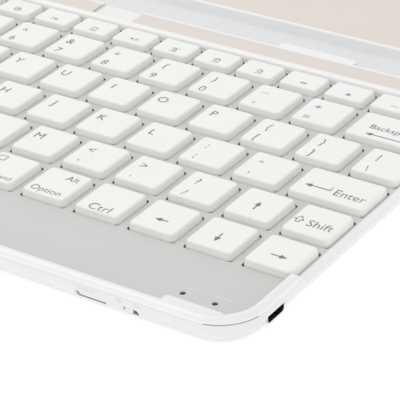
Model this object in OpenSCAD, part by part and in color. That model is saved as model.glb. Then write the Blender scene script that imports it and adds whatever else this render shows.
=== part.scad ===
// Tablet keyboard case: a shallow tray with a chiclet keyboard, a palm rest,
// a raised rear deck with a standing slot for the tablet, and low side walls.
// Units are millimetres.  X runs across the keys, Y from the palm rest to the
// rear, Z up.  The origin is the middle of the footprint, on the table.

/* [Case] */
// Outer width of the case
case_w = 246.8; // [246:0.1:250]
// Outer depth of the case
case_d = 190; // [188:0.5:194]
// Plan radius of the four corners
corner_r = 12; // [12:0.5:14]
// Height from the underside of the shell to the key deck
body_h = 4.8; // [4.8:0.1:5.2]
// Height of the lip above the key deck
lip_h = 3.1; // [2.9:0.1:3.4]
// Thickness of the lip and of the side walls
lip_t = 2.4; // [2.4:0.1:2.6]
// Radius that rolls the outer wall under the case
under_r = 5.2; // [4.8:0.1:5.4]
// Thickness of the outer shell wall
wall_t = 1.2; // [1.1:0.1:1.2]
// Thickness of the shell floor
floor_t = 1; // [0.8:0.1:1]
// Height of the rubber feet below the shell
foot_h = 0.5; // [0.4:0.1:0.8]

/* [Keys] */
// Pitch of the main keys
pitch = 16.6; // [16.5:0.01:16.6]
// Gap between neighbouring key caps
key_gap = 2.9; // [2.8:0.05:3.2]
// Depth of a main key cap
key_d = 13.8; // [13.2:0.1:13.8]
// Height of a key cap above the deck
key_h = 2; // [1.8:0.05:2.1]
// Travel of a key
key_travel = 1.4; // [0.8:0.1:1.4]
// Plan radius of a key cap corner
key_r = 1.4; // [0.8:0.1:1.8]
// Pitch of the keys in the function row
fn_pitch = 14.26; // [14.2:0.01:14.27]
// Depth of a function key cap
fn_d = 8.9; // [8:0.1:9]

/* [Rear deck and slot] */
// Height of the rear deck above the key deck
rear_step = 2; // [2:0.1:2.4]
// Width of the tablet slot at its top
slot_w = 14.5; // [13.5:0.1:14.5]
// Depth of the tablet slot
slot_depth = 2.3; // [2:0.1:2.3]
// Length of each gripping lug in the slot
lug_len = 25.4; // [15:0.1:30]
// Width of the finger notch in the middle of the slot's front edge
notch_w = 14.6; // [10:0.1:20]

/* [Ports and controls] */
// Width of the micro USB socket shell
usb_w = 7.5; // [7:0.1:7.6]
// Height of the micro USB socket shell
usb_h = 2.5; // [2.3:0.1:2.5]
// Width of the pairing button
connect_w = 8.2; // [6:0.1:8.6]
// Travel of the pairing button
connect_travel = 0.4; // [0.2:0.05:0.4]
// Travel of the power switch
switch_travel = 1.6; // [1.2:0.1:1.8]

/* [Hidden] */
$fn = 48;
key_names = ["key_option", "key_ctrl", "key_left", "key_down", "key_right",
    "key_m", "key_comma", "key_period", "key_slash", "key_up", "key_shift",
    "key_j", "key_k", "key_l", "key_semicolon", "key_quote", "key_enter",
    "key_u", "key_i", "key_o", "key_p", "key_bracket_open", "key_bracket_close",
    "key_backslash", "key_9", "key_0", "key_minus", "key_equals", "key_backspace"];
bank_names = ["keys_modifiers_left", "keys_lower_left", "keys_home_left",
    "keys_upper_left", "keys_numbers_left", "keys_function_row"];

eps = 0.01;
fit = 0.05;                          // clearance between pieces that are fixed together
hw = case_w / 2;
hd = case_d / 2;
shell_z = foot_h;                    // underside of the shell
deck_z = foot_h + body_h;            // top of the key deck
lip_z = deck_z + lip_h;
rear_z = deck_z + rear_step;
floor_z = shell_z + floor_t;         // inside floor of the shell
in_x = hw - lip_t;                   // inner face of the side walls
in_y = hd - lip_t;                   // inner face of the front and rear lips
panel_t = 0.4;
panel_z = deck_z - panel_t;
carrier_t = 0.6;                     // plate of the top frame that carries the palm rest
carrier_z = panel_z - carrier_t;
seam_z = deck_z + 1.4;               // parting line round the lip
seam_open_h = 0.3;                   // shadow gap at the front corners
seam_open_d = 0.6;
seam_open_turn = 64;                 // degrees of each corner
low_seam_z = deck_z - 0.9;           // parting line along the low sides
rim_z = deck_z + 0.1;                // top of the low side rims
side_roll = 2.2;                     // radius along the top of the low side rims
lip_roll = 1.5;                      // radius along the top of the lip
skirt = wall_t + 0.35;               // outer face of the frame's skirt, clear of the rolled wall
arc_steps = 7;

// Where the lip stops: it slopes down from lip_z to rim_z beside the keys.
fin_front = -hd + 26.4;
fin_rear = 57;
fin_run = 3;

// Key field.  Row 0 is the arrow row, row 4 the digits, row 5 the function keys.
key_right = 120.3;                   // right end of every row of caps
key_front = -hd + 27.6;              // front edge of the arrow row
fn_front = key_front + 4.98 * pitch;
hole_gap = 0.18;                     // clearance round a cap in the deck
hole_r = 0.8;                        // the holes have sharper corners than the caps
cap_bottom = deck_z - 0.3;
cap_top = deck_z + key_h;
cap_wall = 1;
cap_roof = 0.95;
stem_r = 1.9;
fn_cap_w = fn_pitch - 1.74;

// Widths of the keys of each row, in pitches, from left to right.
wide_space = 4.68;
ROWS = [
    [1, 1, 1, 1, wide_space, 1, 1, 1, 1, 1, 1],
    [2.68, 1, 1, 1, 1, 1, 1, 1, 1, 1, 1, 1, 1],
    [2.18, 1, 1, 1, 1, 1, 1, 1, 1, 1, 1, 1, 1.5],
    [1.68, 1, 1, 1, 1, 1, 1, 1, 1, 1, 1, 1, 1, 1],
    [1, 1, 1, 1, 1, 1, 1, 1, 1, 1, 1, 1, 1, 1.68]];
// How many keys at the left of each row share one node.
BANKED = [6, 7, 7, 7, 9];
fn_count = 17;

// Key stack under the deck.
plate_z = floor_z + 0.5;
plate_t = 0.4;
film_z = plate_z + plate_t + fit;
film_t = 0.15;
dome_z = film_z + film_t + fit;
dome_h = 1.1;
stem_bottom = film_z + film_t + 0.1 + key_travel;
field_x = 119.2;
field_front = key_front - 0.6;
field_rear = fn_front + fn_d + 0.3;

// Rear deck.
rear_front = key_front + 5.575 * pitch;
front_roll = 1.9;                    // radius of the deck's front ridge
slot_front = rear_front + 9.2;
slot_rear = slot_front + slot_w;
slot_floor_z = rear_z - slot_depth;
liner_t = 0.5;
slot_back_run = 1.4;                 // how far the slot's rear face leans
lug_out = 3;
lug_x = 53;
inlay_t = 0.5;
strip_front = rear_front + 2.1;
strip_d = 6;
strip_x = 117;
rear_pad_front = slot_rear + 1.3;
rear_pad_d = in_y - rear_pad_front - 2.2;
roof_t = 1.2;
notch_depth = 0.7;
slot_sole_t = 0.8;                   // extra thickness below the slot's floor

// Ports and controls, all on the right of the front edge.
usb_y = -hd + 16.5;
usb_z = deck_z - 0.45 - usb_h / 2;
usb_len = 5.2;
usb_face_x = hw - 0.25;
connect_x = 82.3;
connect_recess = 1.45;               // the button's face, in from the wall's widest line
connect_back = 2.95;
control_z = deck_z - 1.9;
switch_x = 93.85;
control_hole_h = 2;
knob_w = 2.2;
switch_slot_w = knob_w + switch_travel + 0.5;
led_y = -hd + 10.6;
led_x = [101.5, 110.4];
led_r = 0.7;
pcb_x0 = 70;
pcb_x1 = 118.6;
pcb_y0 = -hd + 4.6;
pcb_y1 = -hd + 20.6;
pcb_z = floor_z + 0.3;
pcb_t = 0.6;
pad_x = 98.6;
pad_len = 16.6;
pad_y = -hd + 3.1;
pad_d = 4.9;

// Screws hold the shell to the frame from below.
SCREWS = [[-105, -82], [-52, -82], [0, -82], [52, -82], [-112, 30], [112, 30],
    [-112, 70], [112, 70], [-75, 82], [75, 82]];
screw_head_r = 1.6;
screw_shank_r = 0.8;
boss_r = 2.4;
boss_split_z = deck_z - 1.9;

// ---------------------------------------------------------------- helpers

// A rectangle with rounded corners, made of true arcs.
module rounded(w, d, r) {
    square([w - 2 * r, d], center = true);
    square([w, d - 2 * r], center = true);
    for (sx = [-1, 1], sy = [-1, 1])
        translate([sx * (w / 2 - r), sy * (d / 2 - r)])
            circle(r = r);
}

// A rounded block from z0 to z1 with its middle at x, y.
module slab(x, y, w, d, r, z0, z1) {
    translate([x, y, z0])
        linear_extrude(z1 - z0)
            rounded(w, d, r);
}

// A plain box between two corners.
module box(a, b) {
    translate(a)
        cube(b - a);
}

// Sweeps a profile round the case.  The profile's x is the distance in from
// the outer wall and its y is the height.
module round_the_case() {
    for (quarter = [0 : 3]) {
        sx = (quarter == 0 || quarter == 3) ? 1 : -1;
        sy = quarter < 2 ? 1 : -1;
        translate([sx * (hw - corner_r), sy * (hd - corner_r), 0])
            rotate(quarter * 90)
                rotate_extrude(angle = 90)
                    translate([corner_r, 0])
                        mirror([1, 0])
                            children();
    }
    for (side = [-1, 1]) {
        translate([side * hw, side * (hd - corner_r), 0])
            rotate(side > 0 ? 180 : 0)
                rotate([90, 0, 0])
                    mirror([0, 0, 1])
                        linear_extrude(case_d - 2 * corner_r)
                            children();
        translate([-side * (hw - corner_r), side * hd, 0])
            rotate(side > 0 ? -90 : 90)
                rotate([90, 0, 0])
                    mirror([0, 0, 1])
                        linear_extrude(case_w - 2 * corner_r)
                            children();
    }
}

// The whole inside of the lip, grown by g.
module inside_the_lip(g) {
    slab(0, 0, 2 * (in_x + g), 2 * (in_y + g), corner_r - lip_t + g, 0, lip_z);
}

// Points of a quarter arc about c, from angle a0 to a1.
function arc(c, r, a0, a1) =
    [for (i = [0 : arc_steps]) let (a = a0 + (a1 - a0) * i / arc_steps)
        [c[0] + r * cos(a), c[1] + r * sin(a)]];

// The space over the low sides, from z0 up: the lip slopes away at both ends.
module side_window(z0) {
    run = fin_run + (rim_z - z0);
    translate([-hw - 1, 0, 0])
        rotate([90, 0, 90])
            linear_extrude(case_w + 2)
                polygon([
                    [fin_front - fin_run / lip_h, lip_z + fin_run / lip_h],
                    [fin_front + run, z0],
                    [fin_rear - run, z0],
                    [fin_rear + fin_run / lip_h, lip_z + fin_run / lip_h]]);
}

// Openings in the walls for the socket, the pairing button and the switch.
module wall_openings() {
    usb_room = 0.2;
    translate([hw - 6, usb_y, usb_z])
        rotate([90, 0, 90])
            linear_extrude(8)
                rounded(usb_w + 2 * usb_room, usb_h + 2 * usb_room, 0.8);
    for (hole = [[connect_x, connect_w + 0.6], [switch_x, switch_slot_w]])
        translate([hole[0], -hd + 5, control_z])
            rotate([90, 0, 0])
                linear_extrude(8)
                    rounded(hole[1], control_hole_h, 0.8);
}

// ---------------------------------------------------------------- case

module shell_floor_and_wall() {
    c = [under_r, shell_z + under_r];
    round_the_case()
        polygon(concat(
            [[corner_r, shell_z]],
            arc(c, under_r, 270, 180),
            [[0, seam_z], [wall_t, seam_z]],
            arc(c, under_r - wall_t, 180, 270),
            [[corner_r, shell_z + wall_t], [corner_r, shell_z]]));
    box([corner_r - hw, corner_r - hd, shell_z], [hw - corner_r, hd - corner_r, floor_z]);
}

module bottom_shell() {
    color("white")
        difference() {
            union() {
                shell_floor_and_wall();
                for (p = SCREWS)
                    translate([p[0], p[1], floor_z - 0.3])
                        cylinder(r = boss_r, h = boss_split_z - floor_z + 0.3);
            }
            side_window(low_seam_z);
            wall_openings();
            for (p = SCREWS)
                translate([p[0], p[1], shell_z - eps]) {
                    cylinder(r = screw_head_r + 0.2, h = 0.75);
                    cylinder(r = screw_shank_r + 0.15, h = 10);
                }
        }
}

// The parting line stands open round the two front corners.
module corner_seams() {
    for (side = [-1, 1])
        translate([side * (hw - corner_r), -hd + corner_r, 0])
            rotate((side > 0 ? -45 : -135) - seam_open_turn / 2)
                rotate_extrude(angle = seam_open_turn)
                    translate([corner_r - seam_open_d, seam_z])
                        square([seam_open_d + 1, seam_open_h]);
}

// The lip above the parting line, and the skirt that fits inside the shell.
module lip_ring() {
    difference() {
        round_the_case()
            polygon(concat(
                [[lip_t, carrier_z], [lip_t, lip_z - 0.3], [lip_t - 0.3, lip_z]],
                arc([lip_roll, lip_z - lip_roll], lip_roll, 90, 180),
                [[0, seam_z + 0.06], [skirt, seam_z + 0.06], [skirt, carrier_z]]));
        side_window(low_seam_z);
        corner_seams();
    }
}

// The low rims beside the keys, with a rolled outer edge.
module low_rims() {
    roll = rim_z - low_seam_z - 0.06;
    intersection() {
        round_the_case()
            polygon(concat(
                [[lip_t, carrier_z], [lip_t, rim_z]],
                [for (p = arc([side_roll, 0], side_roll, 90, 180))
                    [p[0], rim_z + (p[1] - side_roll) * roll / side_roll]],
                [[skirt, low_seam_z + 0.06], [skirt, carrier_z]]));
        side_window(carrier_z - 1);
    }
}

// Roof of the rear deck with the channel of the tablet slot.
module rear_deck_block() {
    front_wall = 1.2;
    difference() {
        intersection() {
            box([-hw, rear_front, carrier_z], [hw, hd, rear_z]);
            inside_the_lip(eps);
        }
        // space below the strip in front of the slot
        box([-in_x + 1, rear_front + front_wall, carrier_z - 1],
            [in_x - 1, slot_front - 1.2, rear_z - roof_t]);
        // battery bay behind the slot
        intersection() {
            box([-hw, slot_rear + 1.2, carrier_z - 1], [hw, hd, rear_z - roof_t]);
            inside_the_lip(-1);
        }
        slot_channel(0);
        // rounded front edge of the deck
        difference() {
            box([-in_x - 1, rear_front - 1, rear_z - front_roll],
                [in_x + 1, rear_front + front_roll, rear_z + 1]);
            translate([-in_x - 2, rear_front + front_roll, rear_z - front_roll])
                rotate([0, 90, 0])
                    cylinder(r = front_roll, h = 2 * in_x + 4);
        }
    }
    box([-in_x - eps, rear_front - 0.6, carrier_z], [in_x + eps, rear_front + 0.5, panel_z]);
    box([-in_x + 1, slot_front - 1.2, carrier_z - slot_sole_t],
        [in_x - 1, slot_rear + 1.2, carrier_z + eps]);
}

// The channel, open at both ends.  lining is how much of its floor and of its
// leaning rear face is taken up.
module slot_channel(lining) {
    translate([-hw - 1, 0, 0])
        rotate([90, 0, 90])
            linear_extrude(case_w + 2)
                polygon([
                    [slot_front, rear_z + 2],
                    [slot_front, slot_floor_z - liner_t + lining],
                    [slot_rear - slot_back_run - lining, slot_floor_z - liner_t + lining],
                    [slot_rear - lining, rear_z],
                    [slot_rear - lining, rear_z + 2]]);
}

module inlay_strip(side, grow) {
    mid = side * (strip_x + notch_w / 2) / 2;
    slab(mid, strip_front + strip_d / 2, strip_x - notch_w / 2 - 2 * grow,
        strip_d - 2 * grow, 0.6, rear_z - inlay_t + grow, rear_z + (grow > 0 ? 0 : 1));
}

module top_frame() {
    color("white")
        difference() {
            union() {
                lip_ring();
                low_rims();
                // plate below the palm rest
                intersection() {
                    box([-hw, -hd, carrier_z], [hw, key_front - 1.2, panel_z]);
                    inside_the_lip(eps);
                }
                rear_deck_block();
                for (p = SCREWS)
                    translate([p[0], p[1], boss_split_z + fit])
                        cylinder(r = boss_r, h = (p[1] < 0 ? panel_z : rear_z - roof_t + 0.1)
                            - boss_split_z - fit);
            }
            wall_openings();
            // room for the socket and the bodies of the switches
            box([usb_face_x - usb_len - 0.7, usb_y - usb_w / 2 - 0.4, carrier_z - 1],
                [hw - wall_t, usb_y + usb_w / 2 + 0.4, usb_z + usb_h / 2 + 0.05]);
            box([switch_x - 4, -hd, carrier_z - 1], [switch_x + 4, -hd + 7, control_z + 0.9]);
            box([connect_x - 5, -hd, carrier_z - 1], [connect_x + 5, -hd + 7, control_z + 0.9]);
            for (x = led_x)
                translate([x, led_y, carrier_z - 1])
                    cylinder(r = led_r + fit, h = 3);
            for (p = SCREWS)
                translate([p[0], p[1], carrier_z - 3])
                    cylinder(r = screw_shank_r + fit, h = 3.1);
            // the slot runs out through the low rims
            box([-hw - 1, slot_front, slot_floor_z], [hw + 1, slot_rear - slot_back_run, rear_z]);
            // notch through the slot's front edge
            box([-notch_w / 2, rear_front + 2.3, rear_z - notch_depth],
                [notch_w / 2, slot_front + 1, rear_z + 1]);
            for (side = [-1, 1])
                inlay_strip(side, 0);
            slab(0, rear_pad_front + rear_pad_d / 2, 2 * strip_x, rear_pad_d, 3,
                rear_z - inlay_t, rear_z + 1);
        }
}

module key_holes() {
    for (row = [0 : 4])
        for (k = [0 : len(ROWS[row]) - 1])
            slab(key_mid(row, k), row_mid(row), key_w(row, k) + 2 * hole_gap,
                key_d + 2 * hole_gap, hole_r, panel_z - 1, deck_z + 1);
    for (k = [0 : fn_count - 1])
        slab(fn_mid(k), fn_front + fn_d / 2, fn_cap_w + 2 * hole_gap,
            fn_d + 2 * hole_gap, hole_r, panel_z - 1, deck_z + 1);
}

module deck_panel() {
    color([0.82, 0.82, 0.81])
        difference() {
            intersection() {
                box([-hw, -hd, panel_z + eps], [hw, rear_front - fit, deck_z]);
                inside_the_lip(-fit);
            }
            key_holes();
            for (x = led_x)
                translate([x, led_y, panel_z - 1])
                    cylinder(r = led_r + fit, h = 3);
            // room over the socket
            box([usb_face_x - usb_len - 0.7, usb_y - usb_w / 2 - 0.4, panel_z - 1],
                [hw, usb_y + usb_w / 2 + 0.4, usb_z + usb_h / 2 + 0.05]);
        }
}

// ---------------------------------------------------------------- slot and inlays

module slot_liner() {
    color([0.85, 0.87, 0.87])
        difference() {
            intersection() {
                slot_channel(fit);
                box([-in_x + 0.3, slot_front + fit, 0], [in_x - 0.3, slot_rear + 1, rear_z - 0.02]);
            }
            slot_channel(liner_t);
            // the lugs stand on the frame and the lining goes round them
            for (side = [-1, 1])
                slab(side * (lug_x + lug_len / 2), slot_front + lug_out / 2, lug_len + 0.4,
                    lug_out + 0.4, 1.2, 0, rear_z);
        }
}

module slot_lugs() {
    color([0.92, 0.92, 0.91])
        for (side = [-1, 1])
            slab(side * (lug_x + lug_len / 2), slot_front + lug_out / 2 + fit,
                lug_len, lug_out, 1.2, slot_floor_z - liner_t + eps, rear_z - 0.05);
}

module front_inlays() {
    color([0.87, 0.84, 0.81])
        for (side = [-1, 1])
            inlay_strip(side, fit);
}

module rear_inlay() {
    color([0.87, 0.84, 0.81])
        slab(0, rear_pad_front + rear_pad_d / 2, 2 * strip_x - 2 * fit,
            rear_pad_d - 2 * fit, 3, rear_z - inlay_t + fit, rear_z);
}

module bumper_pads() {
    color([0.86, 0.9, 0.92])
        for (side = [-1, 1])
            slab(side * (pad_x + pad_len / 2), pad_y + pad_d / 2, pad_len, pad_d, 1.2,
                deck_z + 0.01, deck_z + 0.6);
}

module led_lenses() {
    color([0.15, 0.15, 0.15])
        for (x = led_x)
            translate([x, led_y, carrier_z - 0.4])
                cylinder(r = led_r, h = panel_z + 0.1 - carrier_z + 0.4);
}

// ---------------------------------------------------------------- electronics

module main_pcb() {
    color([0.1, 0.4, 0.2])
        difference() {
            // the corner follows the shell
            intersection() {
                box([pcb_x0, pcb_y0, pcb_z], [pcb_x1, pcb_y1, pcb_z + pcb_t]);
                inside_the_lip(lip_t - under_r + 0.4);
            }
            box([usb_face_x - usb_len - 0.15, usb_y - usb_w / 2 - 0.15, pcb_z - 1],
                [hw, usb_y + usb_w / 2 + 0.15, pcb_z + 2]);
            for (x = [pcb_x0 + 3, 108])
                translate([x, pcb_y1 - 3, pcb_z - 1])
                    cylinder(r = 0.8, h = 3);
        }
}

module radio_module() {
    color([0.75, 0.75, 0.75])
        difference() {
            box([pcb_x0 + 6, -hd + 11, pcb_z + pcb_t + 0.01],
                [pcb_x0 + 18, -hd + 19, pcb_z + pcb_t + 1.3]);
            box([pcb_x0 + 6.2, -hd + 11.2, pcb_z],
                [pcb_x0 + 17.8, -hd + 18.8, pcb_z + pcb_t + 1.1]);
        }
}

module usb_profile(inset) {
    w = usb_w - 2 * inset;
    h = usb_h - 2 * inset;
    cut = 0.6;
    polygon([[-w / 2, h / 2], [w / 2, h / 2], [w / 2, -h / 2 + cut], [w / 2 - cut, -h / 2],
        [-w / 2 + cut, -h / 2], [-w / 2, -h / 2 + cut]]);
}

module usb_shell() {
    plate = 0.3;
    color([0.8, 0.8, 0.82])
        translate([usb_face_x - usb_len, usb_y, usb_z])
            rotate([90, 0, 90])
                difference() {
                    linear_extrude(usb_len)
                        usb_profile(0);
                    translate([0, 0, 0.5])
                        linear_extrude(usb_len)
                            usb_profile(plate);
                }
}

module usb_tongue() {
    color([0.1, 0.1, 0.1])
        box([usb_face_x - usb_len + 0.55, usb_y - 1.9, usb_z + 0.15],
            [usb_face_x - 1, usb_y + 1.9, usb_z + 0.75]);
}

module power_switch_body() {
    color([0.7, 0.7, 0.72])
        difference() {
            box([switch_x - 3.6, pcb_y0 - 0.2, pcb_z + pcb_t + 0.01],
                [switch_x + 3.6, pcb_y0 + 2.6, control_z + 0.85]);
            box([switch_x - 2.4, pcb_y0 - 1, control_z - 0.5],
                [switch_x + 2.4, pcb_y0 + 1.6, control_z + 0.5]);
        }
}

module power_switch_knob() {
    x0 = switch_x - switch_slot_w / 2 + 0.2;
    color([0.93, 0.93, 0.92]) {
        box([x0, -hd + 0.9, control_z - 0.75], [x0 + knob_w, pcb_y0 - 0.5, control_z + 0.75]);
        box([x0 + 0.3, pcb_y0 - 0.6, control_z - 0.35],
            [x0 + knob_w - 0.3, pcb_y0 + 1.3, control_z + 0.35]);
        // two grip ridges on the thumb face
        for (x = [x0 + 0.55, x0 + 1.25])
            box([x, -hd + 0.7, control_z - 0.6], [x + 0.4, -hd + 1, control_z + 0.6]);
    }
}

module connect_button() {
    color([0.93, 0.93, 0.92]) {
        translate([connect_x, -hd + connect_back, control_z])
            rotate([90, 0, 0])
                linear_extrude(connect_back - connect_recess)
                    rounded(connect_w, control_hole_h - 0.4, 0.7);
        box([connect_x - 1.2, -hd + 2, control_z - 0.45], [connect_x + 1.2, pcb_y0 - 0.2, control_z + 0.45]);
        box([connect_x - 4.4, -hd + 2.9, control_z - 0.6], [connect_x + 4.4, -hd + 3.3, control_z + 0.6]);
    }
}

module connect_tact_switch() {
    front = pcb_y0 - 0.2 + connect_travel + 0.15;
    color([0.3, 0.3, 0.32]) {
        box([connect_x - 2.6, front + 0.5, pcb_z + pcb_t + 0.01],
            [connect_x + 2.6, front + 2.7, control_z + 0.75]);
        translate([connect_x, front + 0.6, control_z])
            rotate([90, 0, 0])
                cylinder(r = 0.6, h = 0.6);
    }
}

module battery() {
    color([0.55, 0.57, 0.6])
        slab(0, slot_rear + 21, 120, 32, 1.5, floor_z + 0.2, floor_z + 3.4);
}

module battery_leads() {
    z0 = floor_z + 0.06;
    z1 = floor_z + 0.26;
    run_x = 108;
    run_w = 5;
    color([0.8, 0.6, 0.2]) {
        box([60.4, slot_rear + 12, z0], [run_x, slot_rear + 12 + run_w, z1]);
        box([run_x - run_w, pcb_y0 + 8, z0], [run_x, slot_rear + 12 + run_w, z1]);
        box([60.4, slot_rear + 12, z0], [62, slot_rear + 12 + run_w, z0 + 1.6]);
    }
}

module slot_magnets() {
    mag_w = 20;
    mag_d = 6;
    mag_h = 1.3;
    color([0.6, 0.6, 0.62])
        for (k = [-2.5 : 1 : 2.5])
            slab(k * 36, slot_front + 5.5, mag_w, mag_d, 0.4, floor_z + 0.4, floor_z + 0.4 + mag_h);
}

// ---------------------------------------------------------------- key stack

module backing_plate() {
    color([0.7, 0.7, 0.7])
        difference() {
            box([-field_x, field_front, plate_z], [field_x, field_rear, plate_z + plate_t]);
            for (x = [-100 : 40 : 100], row = [1, 3])
                translate([x, key_front + row * pitch - key_gap / 2, plate_z - 1])
                    cylinder(r = 1, h = 3);
        }
}

module membrane() {
    tail_w = 14;
    color([0.75, 0.8, 0.75]) {
        box([-field_x, field_front, film_z], [field_x, field_rear, film_z + film_t]);
        // printed tail that runs forward to the board
        box([88, pcb_y1 - 2, film_z], [88 + tail_w, field_front + eps, film_z + film_t]);
    }
}

module dome() {
    difference() {
        cylinder(r1 = 3.8, r2 = 2.8, h = dome_h);
        translate([0, 0, -1])
            cylinder(r = 2.3, h = dome_h + 2);
    }
}

module rubber_domes() {
    color([0.9, 0.9, 0.9]) {
        for (row = [0 : 4])
            for (k = [0 : len(ROWS[row]) - 1])
                translate([key_mid(row, k), row_mid(row), dome_z])
                    dome();
        for (k = [0 : fn_count - 1])
            translate([fn_mid(k), fn_front + fn_d / 2, dome_z])
                dome();
    }
}

// ---------------------------------------------------------------- keys

function total(list, n) = n == 0 ? 0 : list[n - 1] + total(list, n - 1);
function row_units(row) = total(ROWS[row], len(ROWS[row]));
function key_w(row, k) = ROWS[row][k] * pitch - key_gap;
function key_mid(row, k) =
    key_right - (row_units(row) - total(ROWS[row], k)) * pitch + key_gap + key_w(row, k) / 2;
function row_mid(row) = key_front + row * pitch + key_d / 2;
function fn_mid(k) = key_right - fn_cap_w / 2 - (fn_count - 1 - k) * fn_pitch;

// A hollow cap on a round stem, with its top edge stepped in.
module cap(x, y, w, d) {
    step = 0.35;
    slab(x, y, w - 2 * step, d - 2 * step, key_r - 0.3, cap_top - 0.4, cap_top);
    difference() {
        slab(x, y, w, d, key_r, cap_bottom, cap_top - 0.4 + eps);
        slab(x, y, w - 2 * cap_wall, d - 2 * cap_wall, 0.6, cap_bottom - 1, cap_top - cap_roof);
    }
    translate([x, y, stem_bottom])
        cylinder(r = stem_r, h = cap_top - cap_roof - stem_bottom + 0.1);
}

module row_key(row, k) {
    cap(key_mid(row, k), row_mid(row), key_w(row, k), key_d);
}

key_white = [0.95, 0.95, 0.93];

// Single keys are numbered along the rows, leaving out the banked ones.
function singles_before(row) = row == 0 ? 0 : singles_before(row - 1) + len(ROWS[row - 1]) - BANKED[row - 1];

module single_key(n) {
    color(key_white)
        for (row = [0 : 4])
            if (n >= singles_before(row) && n < singles_before(row) + len(ROWS[row]) - BANKED[row])
                row_key(row, BANKED[row] + n - singles_before(row));
}

module key_bank(row) {
    color(key_white)
        for (k = [0 : BANKED[row] - 1])
            row_key(row, k);
}

module function_keys() {
    color(key_white)
        for (k = [0 : fn_count - 1])
            cap(fn_mid(k), fn_front + fn_d / 2, fn_cap_w, fn_d);
}

// ---------------------------------------------------------------- fasteners and feet

module case_screws() {
    color([0.75, 0.75, 0.77])
        for (p = SCREWS)
            translate([p[0], p[1], shell_z + 0.15])
                difference() {
                    union() {
                        cylinder(r = screw_head_r, h = 0.55);
                        cylinder(r = screw_shank_r, h = deck_z - 1.2 - shell_z);
                    }
                    for (turn = [0, 90])
                        rotate(turn)
                            translate([-1, -0.15, -1])
                                cube([2, 0.3, 1.3]);
                }
}

module rubber_feet() {
    color([0.9, 0.9, 0.9])
        for (sx = [-1, 1], sy = [-1, 1])
            translate([sx * 98, sy * 72 + 2, 0])
                cylinder(r = 5, h = shell_z - 0.01);
}

bottom_shell();
top_frame();
deck_panel();
slot_liner();
slot_lugs();
front_inlays();
rear_inlay();
bumper_pads();
led_lenses();
main_pcb();
radio_module();
usb_shell();
usb_tongue();
power_switch_body();
power_switch_knob();
connect_button();
connect_tact_switch();
membrane();
rubber_domes();
backing_plate();
battery();
battery_leads();
slot_magnets();
case_screws();
rubber_feet();
for (n = [0 : len(key_names) - 1])
    single_key(n);
for (row = [0 : len(bank_names) - 2])
    key_bank(row);
function_keys();  // keys_function_row
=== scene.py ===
import math

import bmesh
import bpy
from mathutils import Matrix, Vector


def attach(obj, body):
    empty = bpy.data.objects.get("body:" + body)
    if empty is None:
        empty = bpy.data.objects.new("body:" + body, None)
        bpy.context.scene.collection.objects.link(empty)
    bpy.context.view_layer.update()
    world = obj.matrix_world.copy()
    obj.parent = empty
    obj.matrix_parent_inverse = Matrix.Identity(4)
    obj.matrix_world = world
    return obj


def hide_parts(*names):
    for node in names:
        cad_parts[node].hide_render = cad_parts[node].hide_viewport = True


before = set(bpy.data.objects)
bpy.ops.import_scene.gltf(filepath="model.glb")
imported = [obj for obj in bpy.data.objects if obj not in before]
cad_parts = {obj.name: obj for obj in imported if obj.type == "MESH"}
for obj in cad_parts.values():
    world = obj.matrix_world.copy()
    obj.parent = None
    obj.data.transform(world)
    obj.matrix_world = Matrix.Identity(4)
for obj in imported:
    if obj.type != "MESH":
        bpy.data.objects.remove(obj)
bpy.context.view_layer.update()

# A white keyboard case for a tablet.  Sizes below are millimetres.
MM = 0.001

# ---------------------------------------------------------------- sizes
DECK_TOP = 5.3
CAP_TOP = 7.3
CAP_BOTTOM = 5.0
CAP_DRAFT = 0.34
CAP_ROLL = 0.72
CAP_CORNER = 1.5
CAP_DISH = 0.06
CAP_DISH_RIM = 0.9                      # the dish starts this far in from the rolled edge
CAP_DISH_FLAT = 2.2                     # and is level from here on
CAP_FOOT_ROLL = 0.12
CAP_WALL = 1.0
CAP_ROOF = 0.95
STEM_RADIUS = 1.9
STEM_FOOT = 4.1
PITCH = 16.6
GAP = 2.9
CAP_DEPTH = 13.8
KEYS_RIGHT = 120.3
KEYS_FRONT = -67.4
FN_PITCH = 14.26
FN_GAP = 1.74
FN_DEPTH = 8.9
FN_ROWS_BACK = 4.98                     # the function row's front edge, in pitches
FN_FRONT = KEYS_FRONT + FN_ROWS_BACK * PITCH
FN_COUNT = 17

# Printed marks: letters by their height, lines by their width.
PRINT_LIFT = 0.015
WORD_LIFT = 0.012
PRINT_SHIFT = (-0.25, 0.35)
LETTER = 2.9
SMALL_LETTER = 2.3
TINY_LETTER = 1.9
MARK_LINE = 0.2
SIGN_LINE = 0.17
SHAFT_LINE = 0.32
ARROW_HEAD = 1.9
LETTER_AT = (4.2, 7.9)
LOW_AT = (4.4, 2.2)
HIGH_AT = (4.4, 8.4)
SIGN_AT = (0.9, 2.4)                    # from the middle of a function cap's front edge

# Widths of the caps of each row in pitches, left to right, front row first.
ROWS = (
    (1, 1, 1, 1, 4.68, 1, 1, 1, 1, 1, 1),
    (2.68, 1, 1, 1, 1, 1, 1, 1, 1, 1, 1, 1, 1),
    (2.18, 1, 1, 1, 1, 1, 1, 1, 1, 1, 1, 1, 1.5),
    (1.68, 1, 1, 1, 1, 1, 1, 1, 1, 1, 1, 1, 1, 1),
    (1, 1, 1, 1, 1, 1, 1, 1, 1, 1, 1, 1, 1, 1.68),
)
BANKS = (
    ("keys_modifiers_left", 6),
    ("keys_lower_left", 7),
    ("keys_home_left", 7),
    ("keys_upper_left", 7),
    ("keys_numbers_left", 9),
)
SINGLES = (
    ("key_option", "key_ctrl", "key_left", "key_down", "key_right"),
    ("key_m", "key_comma", "key_period", "key_slash", "key_up", "key_shift"),
    ("key_j", "key_k", "key_l", "key_semicolon", "key_quote", "key_enter"),
    ("key_u", "key_i", "key_o", "key_p", "key_bracket_open", "key_bracket_close", "key_backslash"),
    ("key_9", "key_0", "key_minus", "key_equals", "key_backspace"),
)

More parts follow.
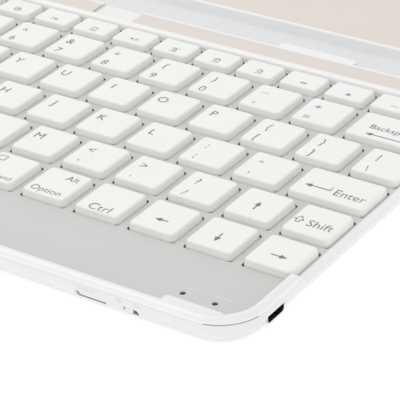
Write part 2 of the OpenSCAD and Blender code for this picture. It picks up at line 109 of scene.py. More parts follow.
SCREWS = (
    (-105, -82), (-52, -82), (0, -82), (52, -82), (-112, 30),
    (112, 30), (-112, 70), (112, 70), (-75, 82), (75, 82),
)
SCREW_SEAT = 0.65
FEET = ((-98, -70), (98, -70), (-98, 74), (98, 74))
STATUS_LIGHTS = ((101.5, -84.4), (110.4, -84.4))
LIGHT_WORDS = ("Link", "Power")
LIGHT_WORD_SHIFT = (0.9, 2.9)
LIGHT_WORD_HEIGHT = 1.25


# ---------------------------------------------------------------- materials
def link(tree, source, source_socket, target, target_socket):
    """Joins an output of one node to an input of another."""
    tree.links.new(source.outputs[source_socket], target.inputs[target_socket])


ROUGH_SPAN = 0.06                       # how far wear takes the roughness either way
COAT_ROUGH = 0.12
PLASTIC_IOR = 1.46


def finish(name, colour, second, rough, metal=0.0, grain=0.35, depth=0.01, mottle=18.0,
           coat=0.0, transmission=0.0):
    """A moulded, painted or metal finish.

    grain and mottle are the sizes in mm of the fine bumps and of the broad patches that
    go from one colour to the second.  depth is the height of the bumps in mm.
    """
    mat = bpy.data.materials.new(name)
    mat.use_nodes = True
    tree = mat.node_tree
    tree.nodes.clear()
    out = tree.nodes.new("ShaderNodeOutputMaterial")
    shader = tree.nodes.new("ShaderNodeBsdfPrincipled")
    link(tree, shader, "BSDF", out, "Surface")
    shader.inputs["Metallic"].default_value = metal
    shader.inputs["Coat Weight"].default_value = coat
    shader.inputs["Coat Roughness"].default_value = COAT_ROUGH
    shader.inputs["IOR"].default_value = PLASTIC_IOR
    shader.inputs["Transmission Weight"].default_value = transmission
    place = tree.nodes.new("ShaderNodeTexCoord")
    broad = tree.nodes.new("ShaderNodeTexNoise")
    broad.inputs["Scale"].default_value = 1000.0 / mottle
    broad.inputs["Detail"].default_value = 4.0
    link(tree, place, "Object", broad, "Vector")
    tint = tree.nodes.new("ShaderNodeMix")
    tint.data_type = "RGBA"
    tint.inputs[6].default_value = (*colour, 1)
    tint.inputs[7].default_value = (*second, 1)
    link(tree, broad, "Fac", tint, 0)
    tree.links.new(tint.outputs[2], shader.inputs["Base Color"])
    wear = tree.nodes.new("ShaderNodeMapRange")
    wear.inputs["From Min"].default_value = 0.3
    wear.inputs["From Max"].default_value = 0.7
    wear.inputs["To Min"].default_value = max(rough - ROUGH_SPAN, 0.02)
    wear.inputs["To Max"].default_value = min(rough + ROUGH_SPAN, 1.0)
    link(tree, broad, "Fac", wear, "Value")
    link(tree, wear, "Result", shader, "Roughness")
    fine = tree.nodes.new("ShaderNodeTexNoise")
    fine.inputs["Scale"].default_value = 1000.0 / grain
    fine.inputs["Detail"].default_value = 3.0
    link(tree, place, "Object", fine, "Vector")
    bump = tree.nodes.new("ShaderNodeBump")
    bump.inputs["Strength"].default_value = 0.6
    bump.inputs["Distance"].default_value = depth * MM
    link(tree, fine, "Fac", bump, "Height")
    link(tree, bump, "Normal", shader, "Normal")
    return mat


SHELL_WHITE = finish("shell_white", (0.645, 0.645, 0.636), (0.675, 0.675, 0.666), 0.36, coat=0.15)
FRAME_WHITE = finish("frame_white", (0.705, 0.705, 0.695), (0.735, 0.735, 0.725), 0.32, coat=0.6)
DECK_SILVER = finish("deck_silver", (0.515, 0.51, 0.50), (0.55, 0.545, 0.535), 0.5,
                     grain=0.16, depth=0.012, mottle=30.0)
LINER_GREY = finish("liner_grey", (0.635, 0.645, 0.65), (0.675, 0.685, 0.69), 0.62, grain=0.25)
LUG_WHITE = finish("lug_white", (0.72, 0.725, 0.72), (0.755, 0.76, 0.755), 0.55, grain=0.3)
INLAY_BEIGE = finish("inlay_beige", (0.62, 0.564, 0.522), (0.655, 0.60, 0.558), 0.55,
                     grain=0.2, depth=0.012)
BUMPER_CLEAR = finish("bumper_clear", (0.80, 0.84, 0.87), (0.84, 0.87, 0.89), 0.3,
                      transmission=0.15, depth=0.004)
LENS_DARK = finish("lens_dark", (0.012, 0.012, 0.014), (0.02, 0.02, 0.022), 0.2, depth=0.002)
BOARD_GREEN = finish("board_green", (0.02, 0.12, 0.05), (0.03, 0.17, 0.07), 0.4, mottle=3.0)
TINNED_STEEL = finish("tinned_steel", (0.62, 0.62, 0.61), (0.70, 0.70, 0.69), 0.3,
                      metal=1.0, grain=0.2, depth=0.004, mottle=4.0)
BLACK_PLASTIC = finish("black_plastic", (0.012, 0.012, 0.013), (0.02, 0.02, 0.021), 0.45)
CONTROL_WHITE = finish("control_white", (0.74, 0.74, 0.72), (0.78, 0.78, 0.76), 0.45, grain=0.25)
KEY_WHITE = finish("key_white", (0.735, 0.735, 0.715), (0.765, 0.765, 0.75), 0.48,
                   grain=0.22, depth=0.012, mottle=9.0)
# The membrane under the caps is tinted dark as painted shade, so the gaps round the caps read near-black.
FILM_SHADE_DARK = finish("film_clear", (0.16, 0.16, 0.165), (0.20, 0.20, 0.205), 0.5)
DOME_RUBBER = finish("dome_rubber", (0.5, 0.5, 0.49), (0.55, 0.55, 0.54), 0.7)
PLATE_STEEL = finish("plate_steel", (0.5, 0.5, 0.5), (0.57, 0.57, 0.56), 0.35, metal=1.0)
CELL_FOIL = finish("cell_foil", (0.42, 0.43, 0.45), (0.5, 0.51, 0.53), 0.3, metal=0.8, mottle=6.0)
FLEX_AMBER = finish("flex_amber", (0.5, 0.24, 0.04), (0.58, 0.30, 0.06), 0.35)
MAGNET_NICKEL = finish("magnet_nickel", (0.55, 0.54, 0.52), (0.62, 0.61, 0.59), 0.25, metal=1.0)
SCREW_STEEL = finish("screw_steel", (0.56, 0.56, 0.57), (0.64, 0.64, 0.65), 0.28,
                     metal=1.0, grain=0.1, depth=0.004, mottle=1.5)
FOOT_RUBBER = finish("foot_rubber", (0.60, 0.60, 0.59), (0.66, 0.66, 0.65), 0.75, grain=0.3)
LEGEND_GREY = finish("legend_grey", (0.15, 0.15, 0.155), (0.19, 0.19, 0.195), 0.5,
                     grain=0.12, depth=0.003, mottle=2.0)
LEGEND_PALE = finish("legend_pale", (0.27, 0.27, 0.275), (0.32, 0.32, 0.325), 0.5,
                     grain=0.12, depth=0.003, mottle=2.0)
PRINT_PALE = finish("print_pale", (0.66, 0.66, 0.65), (0.70, 0.70, 0.69), 0.5)
PRINT_GREY = finish("print_grey", (0.53, 0.53, 0.525), (0.57, 0.57, 0.565), 0.5)


# ---------------------------------------------------------------- mesh helpers
def piece_from(bm, name, materials, body, replaces=(), smooth=40.0):
    """Turns a bmesh in millimetres into a finished piece of the object."""
    bmesh.ops.scale(bm, vec=Vector((MM, MM, MM)), verts=bm.verts)
    mesh = bpy.data.meshes.new(name)
    bm.to_mesh(mesh)
    bm.free()
    return piece_of_mesh(mesh, name, materials, body, replaces, smooth)


def evened(obj):
    """Lets large flat faces keep their own normals beside small rounds."""
    mod = obj.modifiers.new("even", "WEIGHTED_NORMAL")
    mod.keep_sharp = True
    bpy.context.view_layer.update()
    shaped = obj.evaluated_get(bpy.context.evaluated_depsgraph_get())
    flat = bpy.data.meshes.new_from_object(shaped)
    old = obj.data
    obj.modifiers.clear()
    obj.data = flat
    bpy.data.meshes.remove(old)


def piece_of_mesh(mesh, name, materials, body, replaces=(), smooth=40.0):
    """Coats a mesh, shades it smooth between its sharp edges and puts it on its body."""
    while len(mesh.materials) > len(materials):
        mesh.materials.pop()
    for k, mat in enumerate(materials):
        if k < len(mesh.materials):
            mesh.materials[k] = mat
        else:
            mesh.materials.append(mat)
    mesh.polygons.foreach_set("use_smooth", [True] * len(mesh.polygons))
    mesh.set_sharp_from_angle(angle=math.radians(smooth))
    obj = bpy.data.objects.new(name, mesh)
    bpy.context.scene.collection.objects.link(obj)
    evened(obj)
    if replaces:
        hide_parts(*replaces)
    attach(obj, body)
    return obj


LEAST_RADIUS = 0.12


def rounded_ring(x0, x1, y0, y1, radius, inset, z, steps=5):
    """Points of a rounded rectangle, anticlockwise, shrunk by inset."""
    r = max(radius - inset, LEAST_RADIUS)
    points = []
    corners = ((x1, y1, 0), (x0, y1, 90), (x0, y0, 180), (x1, y0, 270))
    for cx, cy, start in corners:
        mx = cx - (inset + r) * (1 if cx == x1 else -1)
        my = cy - (inset + r) * (1 if cy == y1 else -1)
        for i in range(steps + 1):
            a = math.radians(start + 90 * i / steps)
            points.append((mx + r * math.cos(a), my + r * math.sin(a), z))
    return points


def loft(bm, rings, slot=0):
    """Closes a stack of equal rings, lowest first, into a solid."""
    made = [[bm.verts.new(p) for p in ring] for ring in rings]
    n = len(rings[0])
    faces = [bm.faces.new(list(reversed(made[0]))), bm.faces.new(made[-1])]
    for low, high in zip(made, made[1:]):
        for i in range(n):
            j = (i + 1) % n
            faces.append(bm.faces.new((low[i], low[j], high[j], high[i])))
    for face in faces:
        face.material_index = slot


def flat_shape(bm, points, z, slot):
    """A flat printed shape, given anticlockwise."""
    face = bm.faces.new([bm.verts.new((x, y, z)) for x, y in points])
    face.material_index = slot


def stroke(bm, points, width, z, slot, closed=False):
    """A printed line of even width."""
    pairs = list(zip(points, points[1:]))
    if closed:
        pairs.append((points[-1], points[0]))
    for (ax, ay), (bx, by) in pairs:
        length = math.hypot(bx - ax, by - ay)
        ux = (bx - ax) / length
        uy = (by - ay) / length
        h = width / 2
        flat_shape(bm, [
            (ax - ux * h + uy * h, ay - uy * h - ux * h),
            (bx + ux * h + uy * h, by + uy * h - ux * h),
            (bx + ux * h - uy * h, by + uy * h + ux * h),
            (ax - ux * h - uy * h, ay - uy * h + ux * h),
        ], z, slot)


def arrow(bm, tail, tip, z, slot):
    """A thin shaft with a solid head."""
    length = math.hypot(tip[0] - tail[0], tip[1] - tail[1])
    ux = (tip[0] - tail[0]) / length
    uy = (tip[1] - tail[1]) / length
    neck = (tip[0] - ux * ARROW_HEAD, tip[1] - uy * ARROW_HEAD)
    half = ARROW_HEAD * 0.42
    stroke(bm, [tail, neck], SHAFT_LINE, z, slot)
    flat_shape(bm, [tip, (neck[0] - uy * half, neck[1] + ux * half),
                    (neck[0] + uy * half, neck[1] - ux * half)], z, slot)


GLYPHS = {}
CAPITAL = 0.7                           # height of a capital in the font's own units
THINNING = -0.011


def glyph_mesh(text):
    """Vertices and faces of a word whose capitals are one unit high, centred."""
    if text not in GLYPHS:
        curve = bpy.data.curves.new("word", "FONT")
        curve.body = text
        curve.offset = THINNING
        curve.resolution_u = 4
        holder = bpy.data.objects.new("word", curve)
        bpy.context.scene.collection.objects.link(holder)
        bpy.context.view_layer.update()
        shaped = holder.evaluated_get(bpy.context.evaluated_depsgraph_get())
        mesh = bpy.data.meshes.new_from_object(shaped)
        points = [v.co.copy() for v in mesh.vertices]
        faces = [list(p.vertices) for p in mesh.polygons]
        bpy.data.objects.remove(holder)
        bpy.data.curves.remove(curve)
        bpy.data.meshes.remove(mesh)
        mid_x = (min(p.x for p in points) + max(p.x for p in points)) / 2
        mid_y = (min(p.y for p in points) + max(p.y for p in points)) / 2
        GLYPHS[text] = [((p.x - mid_x) / CAPITAL, (p.y - mid_y) / CAPITAL) for p in points], faces
    return GLYPHS[text]


def word(bm, text, x, y, height, z, slot):
    """A printed word with its middle at x, y."""
    points, faces = glyph_mesh(text)
    made = [bm.verts.new((x + px * height, y + py * height, z)) for px, py in points]
    for face in faces:
        new = bm.faces.new([made[i] for i in face])
        new.normal_update()
        if new.normal.z < 0:
            new.normal_flip()
        new.material_index = slot


# ---------------------------------------------------------------- key caps
def key_cap(bm, x0, y0, width, depth):
    """A hollow cap with drafted sides, a rolled top edge and a shallow dish."""
    x1 = x0 + width
    y1 = y0 + depth
    ceiling = CAP_TOP - CAP_ROOF
    rings = [rounded_ring(x0, x1, y0, y1, CAP_CORNER, CAP_WALL, ceiling)]
    rings.append(rounded_ring(x0, x1, y0, y1, CAP_CORNER, CAP_WALL, CAP_BOTTOM))
    rings.append(rounded_ring(x0, x1, y0, y1, CAP_CORNER, CAP_FOOT_ROLL, CAP_BOTTOM))
    rings.append(rounded_ring(x0, x1, y0, y1, CAP_CORNER, 0.0, CAP_BOTTOM + CAP_FOOT_ROLL))
    shoulder = CAP_TOP - CAP_ROLL
    steps = 6
    for i in range(steps + 1):
        a = math.radians(90 * i / steps)
        inset = CAP_DRAFT + CAP_ROLL * (1 - math.cos(a))
        rings.append(rounded_ring(x0, x1, y0, y1, CAP_CORNER, inset,
                                  shoulder + CAP_ROLL * math.sin(a)))
    edge = CAP_DRAFT + CAP_ROLL
    for inset, drop in ((CAP_DISH_RIM, 0.6), (CAP_DISH_FLAT, 1.0)):
        rings.append(rounded_ring(x0, x1, y0, y1, CAP_CORNER, edge + inset,
                                  CAP_TOP - CAP_DISH * drop))
    loft(bm, rings)
    mx = (x0 + x1) / 2
    my = (y0 + y1) / 2
    r = STEM_RADIUS
    stem = [rounded_ring(mx - r, mx + r, my - r, my + r, r, 0.0, z, steps=4)
            for z in (STEM_FOOT, ceiling + 0.1)]
    loft(bm, stem)


# A mark is a word with its middle and height, an arrow from tail to tip, a line, a
# closed loop or a solid shape.  Places are from the cap's left front corner.
def letter(text):
    """The mark of a letter key."""
    return [("word", text, *LETTER_AT, LETTER)]


def pair(low, high):
    """The marks of a key with a plain and a shifted sign."""
    return [("word", low, *LOW_AT, LETTER), ("word", high, *HIGH_AT, LETTER)]


BACKSPACE_MARK = [("word", "Backspace", 12.0, 5.6, SMALL_LETTER),
                  ("arrow", (19.5, 1.9), (5.9, 1.9))]
ENTER_MARK = [("word", "Enter", 16.3, 4.3, LETTER), ("arrow", (10.4, 4.4), (3.2, 4.4)),
              ("line", [(10.4, 4.4), (10.4, 5.9)])]
SHIFT_ARROW = [(1.5, 5.2), (2.7, 6.9), (3.9, 5.2), (3.2, 5.2), (3.2, 4.1), (2.2, 4.1), (2.2, 5.2)]
SHIFT_MARK = [("loop", SHIFT_ARROW), ("word", "Shift", 8.9, 5.0, LETTER)]
OPTION_MARK = [("word", "Option", 6.9, 1.9, SMALL_LETTER), ("word", "Alt", 9.7, 9.9, SMALL_LETTER)]
COMMAND_MARK = [("word", "Command", 6.8, 1.9, TINY_LETTER),
                ("loop", [(2.2, 9.0), (4.4, 9.0), (4.4, 11.2), (2.2, 11.2)])]

# Printed marks of each row, left to right.
MARKS = (
    ([("word", "Fn", 4.4, 2.0, SMALL_LETTER)], [("word", "Ctrl", 5.2, 2.0, SMALL_LETTER)],
     OPTION_MARK, COMMAND_MARK, [], COMMAND_MARK, OPTION_MARK,
     [("word", "Ctrl", 7.3, 1.9, LETTER)],
     [("arrow", (8.9, 4.9), (5.3, 4.7))], [("arrow", (7.0, 6.8), (7.0, 3.0))],
     [("arrow", (5.5, 4.9), (9.7, 4.9))]),
    (SHIFT_MARK, letter("Z"), letter("X"), letter("C"), letter("V"), letter("B"), letter("N"),
     letter("M"), pair(",", "<"), pair(".", ">"), pair("/", "?"),
     [("arrow", (7.0, 3.9), (7.0, 7.6))], SHIFT_MARK),
    ([("word", "Caps Lock", 11.0, 4.4, SMALL_LETTER)], letter("A"), letter("S"), letter("D"),
     letter("F"), letter("G"), letter("H"), letter("J"), letter("K"), letter("L"),
     pair(";", ":"), pair("'", "\""), ENTER_MARK),
    ([("word", "Tab", 5.2, 4.4, SMALL_LETTER)], letter("Q"), letter("W"), letter("E"),
     letter("R"), letter("T"), letter("Y"), letter("U"), letter("I"), letter("O"), letter("P"),
     pair("[", "{"), pair("]", "}"), pair("\\", "|")),
    (pair("`", "~"), pair("1", "!"), pair("2", "@"), pair("3", "#"), pair("4", "$"),
     pair("5", "%"), pair("6", "^"), pair("7", "&"), pair("8", "*"), pair("9", "("),
     pair("0", ")"), pair("-", "_"), pair("=", "+"), BACKSPACE_MARK),
)


def box_loop(x, y, w, h):
    """The outline of a box about x, y."""
    return ("loop", [(x - w / 2, y - h / 2), (x + w / 2, y - h / 2),
                     (x + w / 2, y + h / 2), (x - w / 2, y + h / 2)])


def round_loop(x, y, r, n=12):
    """The outline of a ring about x, y."""
    return ("loop", [(x + r * math.cos(i * math.tau / n), y + r * math.sin(i * math.tau / n))
                     for i in range(n)])


def triangle(x, y, size, way):
    """A solid triangle that points right with way 1 and left with way -1."""
    return ("solid", [(x - way * size / 2, y - size / 2), (x + way * size / 2, y),
                      (x - way * size / 2, y + size / 2)][::way])


# Small generic signs of the function row, left to right, about a middle at 0, 0.
SIGNS = (
    [("word", "Esc", 0, 0, TINY_LETTER)],
    [("loop", [(-1.1, -1), (1.1, -1), (1.1, 0.3), (0, 1.2), (-1.1, 0.3)])],
    [round_loop(0, 0, 0.6), ("line", [(-1.4, 0), (-1.0, 0)]), ("line", [(1.0, 0), (1.4, 0)])],
    [round_loop(0, 0, 0.9), ("line", [(-1.8, 0), (-1.2, 0)]), ("line", [(1.2, 0), (1.8, 0)]),
     ("line", [(0, 1.2), (0, 1.7)])],
    [round_loop(-0.2, 0.2, 0.8), ("line", [(0.4, -0.4), (1.1, -1.1)])],
    [box_loop(0, 0, 2.8, 1.6), ("line", [(-0.9, -0.3), (0.9, -0.3)])],
    [box_loop(-0.3, 0.3, 1.5, 1.5), box_loop(0.4, -0.4, 1.5, 1.5)],
    [("line", [(-1.2, -0.9), (-1.2, 0.9)]), triangle(-0.1, 0, 1.4, -1)],
    [box_loop(0, 0.2, 1.6, 1.6), ("line", [(-1.4, -1.2), (1.4, -1.2)])],
    [triangle(-0.5, 0, 1.3, 1), ("line", [(0.6, -0.7), (0.6, 0.7)]), ("line", [(1.2, -0.7), (1.2, 0.7)])],
    [("line", [(-1.3, 0.9), (1.3, 0.9)]), round_loop(0, -0.1, 0.6), ("line", [(-1.3, -1.2), (1.3, -1.2)])],
    [round_loop(0, 0.4, 0.9), ("line", [(-0.4, 0.4), (0.5, 0.9)]), ("line", [(-1.3, -1.1), (1.3, -1.1)])],
    [round_loop(0, 0.4, 0.8), ("line", [(0.2, 0.4), (0.9, -0.2)]), ("line", [(-1.3, -1.1), (1.3, -1.1)])],
    [triangle(0.4, 0, 1.1, -1), triangle(-0.6, 0, 1.1, -1)],
    [("solid", [(-0.6, -0.6), (0.6, -0.6), (0.6, 0.6), (-0.6, 0.6)])],
    [("line", [(-1.1, 0), (1.1, 0)])],
    [("line", [(-1.0, 0), (1.0, 0)]), ("line", [(0, -1.0), (0, 1.0)])],
)


def print_marks(bm, marks, x0, y0, line=MARK_LINE):
    """Prints a list of marks on a cap's top, measured from x0, y0."""
    z = CAP_TOP + PRINT_LIFT
    x0 += PRINT_SHIFT[0]
    y0 += PRINT_SHIFT[1]
    for mark in marks:
        kind = mark[0]
        if kind == "word":
            word(bm, mark[1], x0 + mark[2], y0 + mark[3], mark[4], z, 1)
        elif kind == "arrow":
            tail, tip = [(x0 + p[0], y0 + p[1]) for p in mark[1:]]
            arrow(bm, tail, tip, z, 1)
        elif kind == "solid":
            flat_shape(bm, [(x0 + x, y0 + y) for x, y in mark[1]], z, 1)
        else:
            stroke(bm, [(x0 + x, y0 + y) for x, y in mark[1]], line, z, 1, kind == "loop")


def row_caps(row):
    """Left edge, front edge and width of each cap of a row."""
    widths = ROWS[row]
    left = KEYS_RIGHT + GAP - sum(widths) * PITCH
    caps = []
    for w in widths:
        caps.append((left, KEYS_FRONT + row * PITCH, w * PITCH - GAP))
        left += w * PITCH
    return caps


def make_keys():
    """One piece for each key that moves alone and for each bank of keys."""
    for row, (bank, count) in enumerate(BANKS):
        caps = row_caps(row)
        groups = [(bank, range(count))]
        groups += [(name, [count + i]) for i, name in enumerate(SINGLES[row])]
        for name, members in groups:
            bm = bmesh.new()
            for k in members:
                x, y, w = caps[k]
                key_cap(bm, x, y, w, CAP_DEPTH)
                print_marks(bm, MARKS[row][k], x, y)
            piece_from(bm, name + "_caps", (KEY_WHITE, LEGEND_GREY), name, [name], 50)
    bm = bmesh.new()
    width = FN_PITCH - FN_GAP
    for k in range(FN_COUNT):
        left = KEYS_RIGHT - width - (FN_COUNT - 1 - k) * FN_PITCH
        key_cap(bm, left, FN_FRONT, width, FN_DEPTH)
        print_marks(bm, SIGNS[k], left + width / 2 + SIGN_AT[0], FN_FRONT + SIGN_AT[1], SIGN_LINE)
    name = "keys_function_row"
    piece_from(bm, name + "_caps", (KEY_WHITE, LEGEND_PALE), name, [name], 50)


# ---------------------------------------------------------------- moulded parts
EDGE_ANGLE = 35.0                       # anything more bent than this counts as an edge


def softened(node, name, mat, body, edge, segments=2, shade_finish=None, is_painted_shade=None):
    """The same part with its sharp edges broken by a small round.

    Faces picked out by the shade mask, given a middle in millimetres, get the dark second finish as
    painted shade.
    """
    bm = bmesh.new()
    bm.from_mesh(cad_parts[node].data)
    bmesh.ops.scale(bm, vec=Vector((1 / MM, 1 / MM, 1 / MM)), verts=bm.verts)
    bmesh.ops.remove_doubles(bm, verts=bm.verts, dist=0.0005)
    bmesh.ops.dissolve_limit(bm, angle_limit=math.radians(0.4), verts=bm.verts, edges=bm.edges)
    sharp = [e for e in bm.edges
             if len(e.link_faces) == 2 and e.calc_face_angle(0) > math.radians(EDGE_ANGLE)]
    bmesh.ops.bevel(bm, geom=sharp, offset=edge, offset_type="OFFSET", segments=segments,
                    profile=0.5, affect="EDGES", clamp_overlap=True)
    finishes = (mat, shade_finish) if shade_finish else (mat,)
    if shade_finish:
        for face in bm.faces:
            face.material_index = 1 if is_painted_shade(face.calc_center_median()) else 0
    return piece_from(bm, name, finishes, body, [node], EDGE_ANGLE)


SOCKET_MIDDLE = (-78.5, 3.6)
SOCKET_INSIDE = (3.62, 1.12)
SOCKET_MOUTH = 122.85


def socket_painted_shade(middle):
    """True for the walls within the socket's mouth, behind its bright rim; these are coloured black as
    painted shade, and the lower floor is left out so it stays metal.
    """
    return (middle.x < SOCKET_MOUTH
            and abs(middle.y - SOCKET_MIDDLE[0]) < SOCKET_INSIDE[0]
            and -SOCKET_INSIDE[1] * 0.7 < middle.z - SOCKET_MIDDLE[1] < SOCKET_INSIDE[1])


def make_moulded_parts():
    """The case's mouldings, each with the round of its own edges in millimetres."""
    softened("bottom_shell", "shell_moulding", SHELL_WHITE, "case", 0.06)
    softened("top_frame", "frame_moulding", FRAME_WHITE, "case", 0.06)
    softened("slot_lugs", "slot_lug_pads", LUG_WHITE, "case", 0.35, 3)
    softened("front_inlays", "front_inlay_strips", INLAY_BEIGE, "case", 0.03)
    softened("rear_inlay", "rear_inlay_sheet", INLAY_BEIGE, "case", 0.03)
    softened("power_switch_knob", "switch_thumb_piece", CONTROL_WHITE, "power_switch_knob",
             0.12)
    softened("connect_button", "pairing_button_cap", CONTROL_WHITE, "connect_button",
             0.18)
    # The socket's inner walls get black plastic as painted shade; the metal shows only at the rim and the
    # floor.
    softened("usb_shell", "socket_shell", TINNED_STEEL, "case", 0.06,
             shade_finish=BLACK_PLASTIC, is_painted_shade=socket_painted_shade)


PAD_LEFT = 98.6
PAD_LENGTH = 16.6
PAD_FRONT = -91.9
PAD_DEPTH = 4.9
PAD_CORNER = 1.3
# The domed edge from the foot up: how far in, and how high.
PAD_EDGE = ((0.05, 0.01), (0, 0.12), (0.05, 0.3), (0.22, 0.46), (0.55, 0.56), (1.2, 0.6))


def make_bumper_pads():
    """Low cushions of clear rubber with domed edges."""
    bm = bmesh.new()
    for side in (-1, 1):
        ends = sorted((side * PAD_LEFT, side * (PAD_LEFT + PAD_LENGTH)))
        y1 = PAD_FRONT + PAD_DEPTH
        rings = [rounded_ring(ends[0], ends[1], PAD_FRONT, y1, PAD_CORNER, inset,
                              DECK_TOP + rise, 8) for inset, rise in PAD_EDGE]
        loft(bm, rings)
    piece_from(bm, "clear_pads", (BUMPER_CLEAR,), "case", ["bumper_pads"], 60)


def make_light_marks():
    """Pale words printed beside the two status lights."""
    bm = bmesh.new()
    z = DECK_TOP + WORD_LIFT
    for text, (x, y) in zip(LIGHT_WORDS, STATUS_LIGHTS):
        word(bm, text, x + LIGHT_WORD_SHIFT[0], y + LIGHT_WORD_SHIFT[1], LIGHT_WORD_HEIGHT, z, 0)
    piece_from(bm, "status_light_words", (PRINT_PALE,), "case")


# Words moulded on the front wall: text, middle in x, middle in z.
WALL_WORDS = (("Connect", 81.6, 5.75), ("Off", 90.9, 5.7), ("On", 96.2, 5.8))
WALL_FRONT = -95.0


def make_wall_words():
    """Low words over the pairing button and the switch."""
    bm = bmesh.new()
    for text, x, z in WALL_WORDS:
        points, faces = glyph_mesh(text)
        made = [bm.verts.new((x + px, WALL_FRONT - WORD_LIFT, z + py)) for px, py in points]
        for face in faces:
            new = bm.faces.new([made[i] for i in face])
            new.normal_update()
            if new.normal.y > 0:
                new.normal_flip()
    piece_from(bm, "wall_words", (PRINT_GREY,), "case")


# ---------------------------------------------------------------- screws and feet
def node_tree(name, sizes):
    """An empty geometry tree with named sizes, and the identifiers of its inputs."""
    tree = bpy.data.node_groups.new(name, "GeometryNodeTree")
    tree.interface.new_socket("Geometry", in_out="INPUT", socket_type="NodeSocketGeometry")
    for label in sizes:
        tree.interface.new_socket(label, in_out="INPUT", socket_type="NodeSocketFloat")
    tree.interface.new_socket("Finish", in_out="INPUT", socket_type="NodeSocketMaterial")
    tree.interface.new_socket("Geometry", in_out="OUTPUT", socket_type="NodeSocketGeometry")
    return tree


def grown_on_points(tree, points, sizes, mat, name, body, replaces):
    """Runs a tree on a cloud of points and keeps the result as a plain mesh."""
    cloud = bpy.data.meshes.new(name + "_places")
    cloud.from_pydata([(x * MM, y * MM, z * MM) for x, y, z in points], [], [])
    holder = bpy.data.objects.new(name + "_places", cloud)
    bpy.context.scene.collection.objects.link(holder)
    mod = holder.modifiers.new("grow", "NODES")
    mod.node_group = tree
    for item in tree.interface.items_tree:
        if item.in_out != "INPUT" or item.name == "Geometry":
            continue
        mod[item.identifier] = mat if item.name == "Finish" else sizes[item.name] * MM
    bpy.context.view_layer.update()
    shaped = holder.evaluated_get(bpy.context.evaluated_depsgraph_get())
    mesh = bpy.data.meshes.new_from_object(shaped)
    bpy.data.objects.remove(holder)
    return piece_of_mesh(mesh, name, (mat,), body, replaces)


TURNED_SIDES = 32
CROSS_BARS = ((2.0, 0.34, 0.7), (0.34, 2.0, 0.7))


def turned_part_tree(name, profile_labels):
    """Turned parts: a stack of cylinders on each point, joined, then realised."""
    labels = []
    for part in profile_labels:
        labels += [part + " radius", part + " height", part + " middle"]
    tree = node_tree(name, labels)
    nodes = tree.nodes
    start = nodes.new("NodeGroupInput")
    end = nodes.new("NodeGroupOutput")
    join = nodes.new("GeometryNodeJoinGeometry")
    for part in profile_labels:
        turned = nodes.new("GeometryNodeMeshCylinder")
        turned.inputs["Vertices"].default_value = TURNED_SIDES
        link(tree, start, part + " radius", turned, "Radius")
        link(tree, start, part + " height", turned, "Depth")
        lift = nodes.new("ShaderNodeCombineXYZ")
        link(tree, start, part + " middle", lift, "Z")
        move = nodes.new("GeometryNodeTransform")
        link(tree, turned, "Mesh", move, "Geometry")
        link(tree, lift, "Vector", move, "Translation")
        link(tree, move, "Geometry", join, "Geometry")
    place = nodes.new("GeometryNodeInstanceOnPoints")
    link(tree, start, "Geometry", place, "Points")
    return tree, start, end, join, place


def screw_tree():
    """A pan head with a cross recess on a plain shank."""
    tree, start, end, join, place = turned_part_tree("machine screws", ("Head", "Washer", "Shank"))
    nodes = tree.nodes
    cuts = nodes.new("GeometryNodeJoinGeometry")
    for size in CROSS_BARS:
        bar = nodes.new("GeometryNodeMeshCube")
        bar.inputs["Size"].default_value = [v * MM for v in size]
        link(tree, bar, "Mesh", cuts, "Geometry")
    cross = nodes.new("GeometryNodeMeshBoolean")
    cross.operation = "DIFFERENCE"
    link(tree, join, "Geometry", cross, 0)
    link(tree, cuts, "Geometry", cross, 1)
    link(tree, cross, "Mesh", place, "Instance")
    close_tree(tree, start, end, place)
    return tree


def foot_tree():
    """A low rubber foot in three steps, so that its rim is rounded."""
    tree, start, end, join, place = turned_part_tree("rubber feet", ("Base", "Middle", "Tread"))
    link(tree, join, "Geometry", place, "Instance")
    close_tree(tree, start, end, place)
    return tree


def close_tree(tree, start, end, place):
    """Realises the instances, coats them and ends the tree."""
    real = tree.nodes.new("GeometryNodeRealizeInstances")
    coat = tree.nodes.new("GeometryNodeSetMaterial")
    link(tree, place, "Instances", real, "Geometry")
    link(tree, real, "Geometry", coat, "Geometry")
    link(tree, start, "Finish", coat, "Material")
    link(tree, coat, "Geometry", end, "Geometry")


def make_fasteners():
    """Screws and feet, grown on their places."""
    sizes = {"Head radius": 1.45, "Head height": 0.5, "Head middle": 0.25,
             "Washer radius": 1.6, "Washer height": 0.35, "Washer middle": 0.33,
             "Shank radius": 0.8, "Shank height": 3.1, "Shank middle": 2.0}
    places = [(x, y, SCREW_SEAT) for x, y in SCREWS]
    grown_on_points(screw_tree(), places, sizes, SCREW_STEEL, "shell_screws", "case",
                    ["case_screws"])
    sizes = {"Base radius": 5.0, "Base height": 0.24, "Base middle": 0.36,
             "Middle radius": 4.88, "Middle height": 0.4, "Middle middle": 0.28,
             "Tread radius": 4.65, "Tread height": 0.46, "Tread middle": 0.24}
    places = [(x, y, 0.0) for x, y in FEET]
    grown_on_points(foot_tree(), places, sizes, FOOT_RUBBER, "table_feet", "case",
                    ["rubber_feet"])


# ---------------------------------------------------------------- parts kept as they are
KEPT = {
    "deck_panel": DECK_SILVER,
    "slot_liner": LINER_GREY,
    "led_lenses": LENS_DARK,
    "main_pcb": BOARD_GREEN,
    "radio_module": TINNED_STEEL,
    "usb_tongue": BLACK_PLASTIC,
    "power_switch_body": TINNED_STEEL,
    "connect_tact_switch": BLACK_PLASTIC,
    # dark membrane under the caps: painted shade
    "membrane": FILM_SHADE_DARK,
    "rubber_domes": DOME_RUBBER,
    "backing_plate": PLATE_STEEL,
    "battery": CELL_FOIL,
    "battery_leads": FLEX_AMBER,
    "slot_magnets": MAGNET_NICKEL,
}


def coat_kept_parts():
    """Gives the parts that keep their own shape their finish."""
    for name, mat in KEPT.items():
        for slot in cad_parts[name].material_slots:
            slot.material = mat


# ---------------------------------------------------------------- stage, in metres
FLOOR_HALF = 3.0
FLOOR_GLOW = 0.32
SKY = 1.0
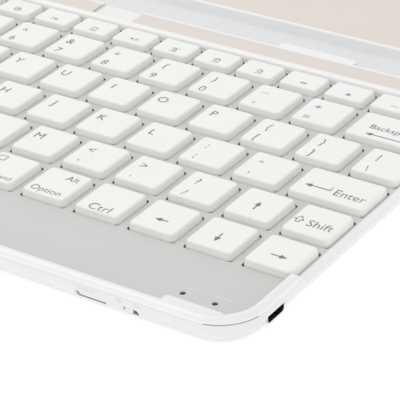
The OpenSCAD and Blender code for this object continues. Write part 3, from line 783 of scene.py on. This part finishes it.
# Name, place, size and power of each lamp.  Both look at the middle of the floor.
LAMPS = (
    ("soft_box", (-0.62, -0.08, 1.08), 0.9, 3.6),
    ("fill_box", (0.8, -0.9, 0.7), 1.0, 0.8),
)


def make_stage():
    """A pale floor that glows a little, a white sky and two large lamps."""
    mesh = bpy.data.meshes.new("studio_floor")
    ring = ((-1, -1), (1, -1), (1, 1), (-1, 1))
    mesh.from_pydata([(x * FLOOR_HALF, y * FLOOR_HALF, 0) for x, y in ring], [], [(0, 1, 2, 3)])
    floor = bpy.data.objects.new("studio_floor", mesh)
    bpy.context.scene.collection.objects.link(floor)
    mat = finish("floor_white", (0.93, 0.93, 0.93), (0.94, 0.94, 0.94), 0.9, mottle=400.0)
    glow = mat.node_tree.nodes["Principled BSDF"]
    glow.inputs["Emission Color"].default_value = (1, 1, 1, 1)
    glow.inputs["Emission Strength"].default_value = FLOOR_GLOW
    mesh.materials.append(mat)
    world = bpy.data.worlds.new("studio")
    bpy.context.scene.world = world
    world.use_nodes = True
    back = world.node_tree.nodes["Background"]
    back.inputs["Color"].default_value = (1.0, 1.0, 1.0, 1)
    back.inputs["Strength"].default_value = SKY
    bpy.context.scene.view_settings.view_transform = "Standard"
    for name, place, size, power in LAMPS:
        light = bpy.data.lights.new(name, "AREA")
        light.size = size
        light.energy = power
        lamp = bpy.data.objects.new(name, light)
        lamp.location = place
        lamp.rotation_euler = (Vector(place) * -1).to_track_quat("-Z", "Y").to_euler()
        bpy.context.scene.collection.objects.link(lamp)


EYE = (0.32507, -0.39477, 0.25068)
EYE_RIGHT = (0.8303, 0.5559, -0.0372)
EYE_BACK = (0.4971, -0.7091, 0.5)
LENS = 177.26
SENSOR = 36.0


def make_camera():
    """A long lens that looks down on the right front corner."""
    data = bpy.data.cameras.new("studio_camera")
    data.lens = LENS
    data.sensor_width = SENSOR
    data.clip_start = 0.01
    data.clip_end = 20.0
    camera = bpy.data.objects.new("studio_camera", data)
    back = Vector(EYE_BACK).normalized()
    right = (Vector(EYE_RIGHT) - back * back.dot(Vector(EYE_RIGHT))).normalized()
    up = back.cross(right)
    turn = Matrix((right, up, back)).transposed().to_4x4()
    camera.matrix_world = Matrix.Translation(Vector(EYE)) @ turn
    bpy.context.scene.collection.objects.link(camera)
    bpy.context.scene.camera = camera


make_camera()
make_stage()
coat_kept_parts()
make_moulded_parts()
make_keys()
make_bumper_pads()
make_light_marks()
make_wall_words()
make_fasteners()
